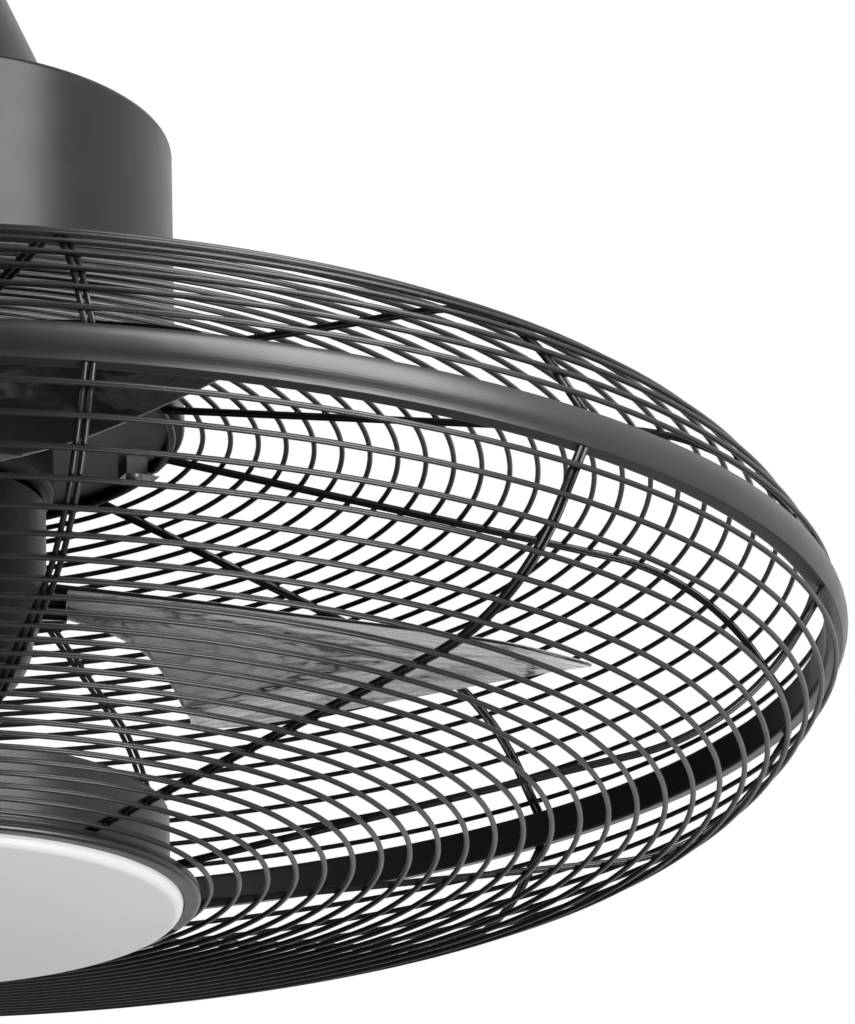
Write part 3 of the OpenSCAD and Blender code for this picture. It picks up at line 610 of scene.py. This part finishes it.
def blade_mesh(blades, turn):
    """A closed, twisted blade with rounded edges and rounded tip corners."""
    tip_r, corner = blades.tip_r / MM, blades.tip_corner / MM
    thickness = blades.thickness / MM
    root = BLADE[0][0]
    radii = [root + (tip_r - corner - root) * i / BLADE_ROWS for i in range(BLADE_ROWS)]
    radii += [tip_r - corner + corner * math.sin(math.pi / 2 * i / CORNER_ROWS)
              for i in range(CORNER_ROWS + 1)]
    points, faces = [], []
    sides = 2 * BLADE_ACROSS
    for r in radii:
        low_turn, low_z, high_turn, high_z = section_at(r, tip_r)
        low = Vector((r * math.radians(low_turn), low_z))
        high = Vector((r * math.radians(high_turn), high_z))
        chord = (high - low).length
        way = (high - low).normalized()
        up = Vector((-way.y, way.x))
        past = max(0.0, (r - tip_r + corner) / corner)
        inset = min(corner * (1 - math.sqrt(max(0.0, 1 - past * past))), chord / 2 - LEAST_HALF)
        for k in range(sides):
            a = FULL_TURN * k / sides
            u = 0.5 - 0.5 * math.cos(a)
            q = inset + u * (chord - 2 * inset)
            v = q / chord
            bow = blades.camber * chord * 4 * v * (1 - v)
            half = thickness / 2 * math.sin(a) / max(math.sqrt(abs(math.sin(a))), EDGE_SHARPNESS)
            spot = low + way * q + up * (bow - half)
            angle = spot.x / r + turn
            points.append((r * MM * math.cos(angle), r * MM * math.sin(angle), EQUATOR + spot.y * MM))
    skin(faces, 0, len(radii), sides)
    return points, faces


def root_block_mesh(points, faces, turn):
    """Adds the chamfered block by which the hub clamps a blade."""
    edge, y = ROOT_EDGE, ROOT_W / 2
    low, high = EQUATOR + ROOT_Z, EQUATOR + ROOT_Z + ROOT_H
    rows = ((ROOT_IN, edge), (ROOT_IN + edge, 0), (ROOT_OUT - edge, 0), (ROOT_OUT, edge))
    first = len(points)
    for x, inset in rows:
        for sy, sz in ((-1, -1), (1, -1), (1, 1), (-1, 1)):
            for early in (True, False):
                cut_y, cut_z = (edge, 0) if early == (sy == sz) else (0, edge)
                cut_y, cut_z = max(cut_y, inset), max(cut_z, inset)
                spot = (x, sy * (y - cut_y), (low + cut_z) if sz < 0 else (high - cut_z))
                points.append(turned(spot, turn))
    skin(faces, first, len(rows), ROOT_SIDES)


class FAN_OT_blades(bpy.types.Operator):
    """Builds the three wide blades in gloss black, each with its root block"""

    bl_idname = "fan.blades"
    bl_label = "Blades"

    def execute(self, context):
        blades = context.scene.fan_blades
        gloss = moulded_gloss("blade_gloss", context.scene.fan_finish)
        for i in range(blades.count):
            turn = blades.turn + FULL_TURN * i / blades.count
            points, faces = blade_mesh(blades, turn)
            root_block_mesh(points, faces, turn)
            add_piece("fan_blade_%d" % (i + 1), points, faces, gloss, "rotor",
                      ("blade_%d" % (i + 1),))
        return {"FINISHED"}


# ---- finishes of the CAD's own pieces ----
ZINC, ZINC_ROUGHNESS = (0.52, 0.53, 0.55), 0.34


class FAN_OT_hub(bpy.types.Operator):
    """Finishes the hub shell, its nose and core, the blade clamps and the rotor's can"""

    bl_idname = "fan.hub"
    bl_label = "Hub"

    def execute(self, context):
        coat = powder_coat("hub_coat", context.scene.fan_finish, share=0.35, shift=-0.06, shine=0.12)
        finish_nodes(coat, "hub_shell", "hub_nose", "hub_core")
        finish_nodes(plated_steel("rotor_steel", (0.50, 0.51, 0.53), 0.35),
                     "clamp_ring", "blade_screws", "rotor_can", "rotor_lid")
        return {"FINISHED"}


class FAN_OT_motor(bpy.types.Operator):
    """Finishes the motor's shaft, bearings, stator and magnets"""

    bl_idname = "fan.motor"
    bl_label = "Motor"

    def execute(self, context):
        finish_nodes(plated_steel("bearing_steel", (0.60, 0.61, 0.63), 0.22),
                     "motor_shaft", "upper_bearing", "lower_bearing")
        finish_nodes(plated_steel("lamination_steel", (0.28, 0.29, 0.31), 0.5, grain=900), "stator_core")
        finish_nodes(plated_steel("magnet_nickel", (0.20, 0.205, 0.22), 0.4), "magnets")
        finish_nodes(plated_steel("enamelled_copper", (0.60, 0.24, 0.08), 0.35, grain=700),
                     "stator_windings")
        return {"FINISHED"}


class FAN_OT_drum(bpy.types.Operator):
    """Coats the drum, pan, motor cap, cone cover and downrod, and finishes what they hide"""

    bl_idname = "fan.drum"
    bl_label = "Drum and cone"

    def execute(self, context):
        finish_nodes(powder_coat("drum_coat", context.scene.fan_finish, share=0.7, shine=0.28),
                     "motor_drum", "drum_pan", "motor_cap", "cone_cover", "downrod")
        finish_nodes(plain_moulding("grommet_rubber", (0.018, 0.018, 0.02), 0.6), "cone_grommet")
        finish_nodes(plated_steel("zinc_plating", ZINC, ZINC_ROUGHNESS), "rod_coupling", "coupling_pin",
                     "coupling_screws", "support_tube", "pan_screws", "guard_clips")
        finish_nodes(plain_moulding("driver_case", (0.70, 0.70, 0.68), 0.45), "led_driver")
        finish_nodes(plain_moulding("receiver_case", (0.03, 0.03, 0.033), 0.45), "speed_receiver")
        return {"FINISHED"}


class FAN_OT_ceiling_fittings(bpy.types.Operator):
    """Finishes the bracket, ball, pin and canopy at the ceiling"""

    bl_idname = "fan.ceiling_fittings"
    bl_label = "Ceiling fittings"

    def execute(self, context):
        finish_nodes(plated_steel("bracket_zinc", (0.54, 0.55, 0.57), 0.36), "hanger_bracket", "ball_pin")
        finish_nodes(plain_moulding("ball_moulding", (0.05, 0.05, 0.052), 0.4), "hanger_ball")
        finish_nodes(powder_coat("canopy_coat", context.scene.fan_finish), "canopy", "canopy_screws")
        return {"FINISHED"}


class FAN_OT_light(bpy.types.Operator):
    """Finishes the light: stem, housing, trim ring, board and opal diffuser"""

    bl_idname = "fan.light"
    bl_label = "Light"

    def execute(self, context):
        finish = context.scene.fan_finish
        finish_nodes(powder_coat("light_coat", finish), "light_stem", "light_housing", "trim_ring")
        finish_nodes(opal_acrylic("opal_acrylic", finish), "diffuser")
        finish_nodes(plated_steel("nut_zinc", ZINC, ZINC_ROUGHNESS), "shaft_nut")
        finish_nodes(plain_moulding("board_mask", (0.78, 0.78, 0.75), 0.5), "led_board")
        finish_nodes(plain_moulding("lamp_phosphor", (0.86, 0.70, 0.28), 0.5), "leds")
        return {"FINISHED"}


# ---- stage ----
CENTRE = Vector((0, 0, EQUATOR))
# the floor's depth under the ceiling and its width
FLOOR_DEPTH = 4.2
ROOM = 16.0
FLOOR_DARK, FLOOR_LIGHT = (0.80, 0.80, 0.80), (0.84, 0.84, 0.84)
FLOOR_ROUGHNESS = 0.8
# how much the floor glows to the camera, and the share of that which gloss sees
FLOOR_GLOW = 0.88
FLOOR_IN_GLOSS = 0.05
# the side of the surround that gloss sees white, to the right and behind the fan, and the lean
# towards it at which the white begins and is full
WHITE_SIDE = (0.78, 0.62, 0.0)
WHITE_FROM = 0.1
WHITE_TO = 0.9
# what gloss sees on the other sides, and the surround's own light on the fan
GLOSS_GREY = 0.03
ROOM_GREY = 0.12


def around(azimuth, elevation, distance):
    """A place round the cage's middle. Azimuth 0 is in front (-Y), and 90 is to the right."""
    a, e = math.radians(azimuth), math.radians(elevation)
    return (distance * math.cos(e) * math.sin(a), -distance * math.cos(e) * math.cos(a),
            EQUATOR + distance * math.sin(e))


def soft_box(name, place, width, height, power):
    """A rectangular soft box aimed at the cage's middle, not seen by the camera."""
    lamp = bpy.data.lights.new(name, "AREA")
    lamp.shape = "RECTANGLE"
    lamp.size, lamp.size_y = width, height
    lamp.energy = power
    box = bpy.data.objects.new(name, lamp)
    box.location = place
    box.rotation_euler = (CENTRE - box.location).to_track_quat("-Z", "Y").to_euler()
    box.visible_camera = False
    bpy.context.scene.collection.objects.link(box)


def worked_out(tree, operation, *values):
    """A Math node on two values, each an output of a node or a number."""
    node = tree.nodes.new("ShaderNodeMath")
    node.operation = operation
    for value, place in zip(values, node.inputs):
        if isinstance(value, bpy.types.NodeSocket):
            tree.links.new(value, place)
        else:
            place.default_value = value
    return node.outputs["Value"]


def shown_white(tree, path, in_gloss):
    """1 for what the camera sees, also through glass, and a share of that for what gloss sees."""
    seen = worked_out(tree, "MAXIMUM", path.outputs["Is Camera Ray"], path.outputs["Is Transmission Ray"])
    mirrored = worked_out(tree, "MULTIPLY", path.outputs["Is Glossy Ray"], in_gloss)
    return worked_out(tree, "MAXIMUM", seen, mirrored)


def white_surround():
    """White to the camera, white on one side in gloss, and a dim grey light on the fan."""
    world = bpy.data.worlds.new("surround")
    world.use_nodes = True
    bpy.context.scene.world = world
    tree = world.node_tree
    background = tree.nodes["Background"]
    background.inputs["Strength"].default_value = 1.0
    side = tree.nodes.new("ShaderNodeVectorMath")
    side.operation = "DOT_PRODUCT"
    side.inputs[1].default_value = WHITE_SIDE
    tree.links.new(tree.nodes.new("ShaderNodeTexCoord").outputs["Generated"], side.inputs[0])
    behind = tree.nodes.new("ShaderNodeMapRange")
    behind.interpolation_type = "SMOOTHSTEP"
    behind.inputs["From Min"].default_value = WHITE_FROM
    behind.inputs["From Max"].default_value = WHITE_TO
    behind.inputs["To Min"].default_value = GLOSS_GREY
    behind.inputs["To Max"].default_value = 1.0
    tree.links.new(side.outputs["Value"], behind.inputs["Value"])
    path = tree.nodes.new("ShaderNodeLightPath")
    plain = worked_out(tree, "MULTIPLY", path.outputs["Is Diffuse Ray"], ROOM_GREY)
    level = worked_out(tree, "MAXIMUM", shown_white(tree, path, behind.outputs["Result"]), plain)
    tree.links.new(level, background.inputs["Color"])


def white_to_camera(tree, shader):
    """Makes the floor nearly as white as the surround to the camera, and open to views from below."""
    path = tree.nodes.new("ShaderNodeLightPath")
    glow = worked_out(tree, "MULTIPLY", shown_white(tree, path, FLOOR_IN_GLOSS), FLOOR_GLOW)
    shader.inputs["Emission Color"].default_value = (1, 1, 1, 1)
    tree.links.new(glow, shader.inputs["Emission Strength"])
    backfacing = tree.nodes.new("ShaderNodeNewGeometry").outputs["Backfacing"]
    tree.links.new(worked_out(tree, "SUBTRACT", 1.0, backfacing), shader.inputs["Alpha"])


def floor_plane(material):
    """The pale floor far under the fan."""
    half = ROOM / 2
    mesh = bpy.data.meshes.new("floor")
    corners = ((-half, -half), (half, -half), (half, half), (-half, half))
    mesh.from_pydata([(x, y, -FLOOR_DEPTH) for x, y in corners], [], [(0, 1, 2, 3)])
    mesh.materials.append(material)
    plane = bpy.data.objects.new("floor", mesh)
    bpy.context.scene.collection.objects.link(plane)


def photo_camera(stage):
    """The camera at the photograph's viewing angle."""
    camera_data = bpy.data.cameras.new("camera")
    camera_data.lens = stage.lens
    camera = bpy.data.objects.new("camera", camera_data)
    place = (stage.camera_x, -stage.camera_back, EQUATOR - stage.camera_down)
    camera.matrix_world = (Matrix.Rotation(stage.orbit, 4, "Z") @ Matrix.Translation(place)
                           @ Matrix.Rotation(-stage.yaw, 4, "Z")
                           @ Matrix.Rotation(math.pi / 2 + stage.pitch, 4, "X")
                           @ Matrix.Rotation(stage.roll, 4, "Z"))
    bpy.context.scene.collection.objects.link(camera)
    bpy.context.scene.camera = camera


class FAN_OT_stage(bpy.types.Operator):
    """Sets a pale floor, a white surround, soft light and the camera"""

    bl_idname = "fan.stage"
    bl_label = "Stage"

    def execute(self, context):
        stage = context.scene.fan_stage
        context.scene.view_settings.view_transform = "Standard"
        white_surround()
        pale, tree, shader, coords = new_material("pale_floor")
        patches = noise(tree, coords, scale=1.5, detail=2)
        tree.links.new(tones(tree, patches, FLOOR_DARK, FLOOR_LIGHT), shader.inputs["Base Color"])
        shader.inputs["Roughness"].default_value = FLOOR_ROUGHNESS
        white_to_camera(tree, shader)
        floor_plane(pale)
        soft_box("key_box", around(azimuth=42, elevation=26, distance=1.0),
                 width=0.5, height=0.9, power=stage.key_power)
        soft_box("fill_box", around(azimuth=-40, elevation=10, distance=3.0),
                 width=1.6, height=1.6, power=stage.fill_power)
        soft_box("low_box", around(azimuth=50, elevation=-38, distance=1.3),
                 width=0.6, height=0.6, power=stage.low_power)
        photo_camera(stage)
        return {"FINISHED"}


class FAN_PT_panel(bpy.types.Panel):
    """Lists the fan's sizes, finishes and pieces"""

    bl_idname = "FAN_PT_panel"
    bl_label = "Ceiling Fan"
    bl_space_type = "VIEW_3D"
    bl_region_type = "UI"
    bl_category = "Ceiling Fan"

    def draw(self, context):
        for settings, group in GROUPS:
            box = self.layout.box()
            for name in group.__annotations__:
                box.prop(getattr(context.scene, settings), name)
        for operator in PIECES:
            self.layout.operator(operator.bl_idname)


PIECES = (FAN_OT_cage, FAN_OT_blades, FAN_OT_hub, FAN_OT_motor, FAN_OT_drum,
          FAN_OT_ceiling_fittings, FAN_OT_light, FAN_OT_stage)
GROUPS = (("fan_cage", CageSettings), ("fan_blades", BladeSettings), ("fan_finish", FinishSettings),
          ("fan_stage", StageSettings))


def register():
    for name, group in GROUPS:
        bpy.utils.register_class(group)
        setattr(bpy.types.Scene, name, bpy.props.PointerProperty(type=group))
    for operator in PIECES:
        bpy.utils.register_class(operator)
    bpy.utils.register_class(FAN_PT_panel)


def unregister():
    bpy.utils.unregister_class(FAN_PT_panel)
    for operator in reversed(PIECES):
        bpy.utils.unregister_class(operator)
    for name, group in reversed(GROUPS):
        delattr(bpy.types.Scene, name)
        bpy.utils.unregister_class(group)


def main():
    register()
    bpy.ops.fan.cage()
    bpy.ops.fan.blades()
    bpy.ops.fan.hub()
    bpy.ops.fan.motor()
    bpy.ops.fan.drum()
    bpy.ops.fan.ceiling_fittings()
    bpy.ops.fan.light()
    bpy.ops.fan.stage()


if __name__ == "__main__":
    main()
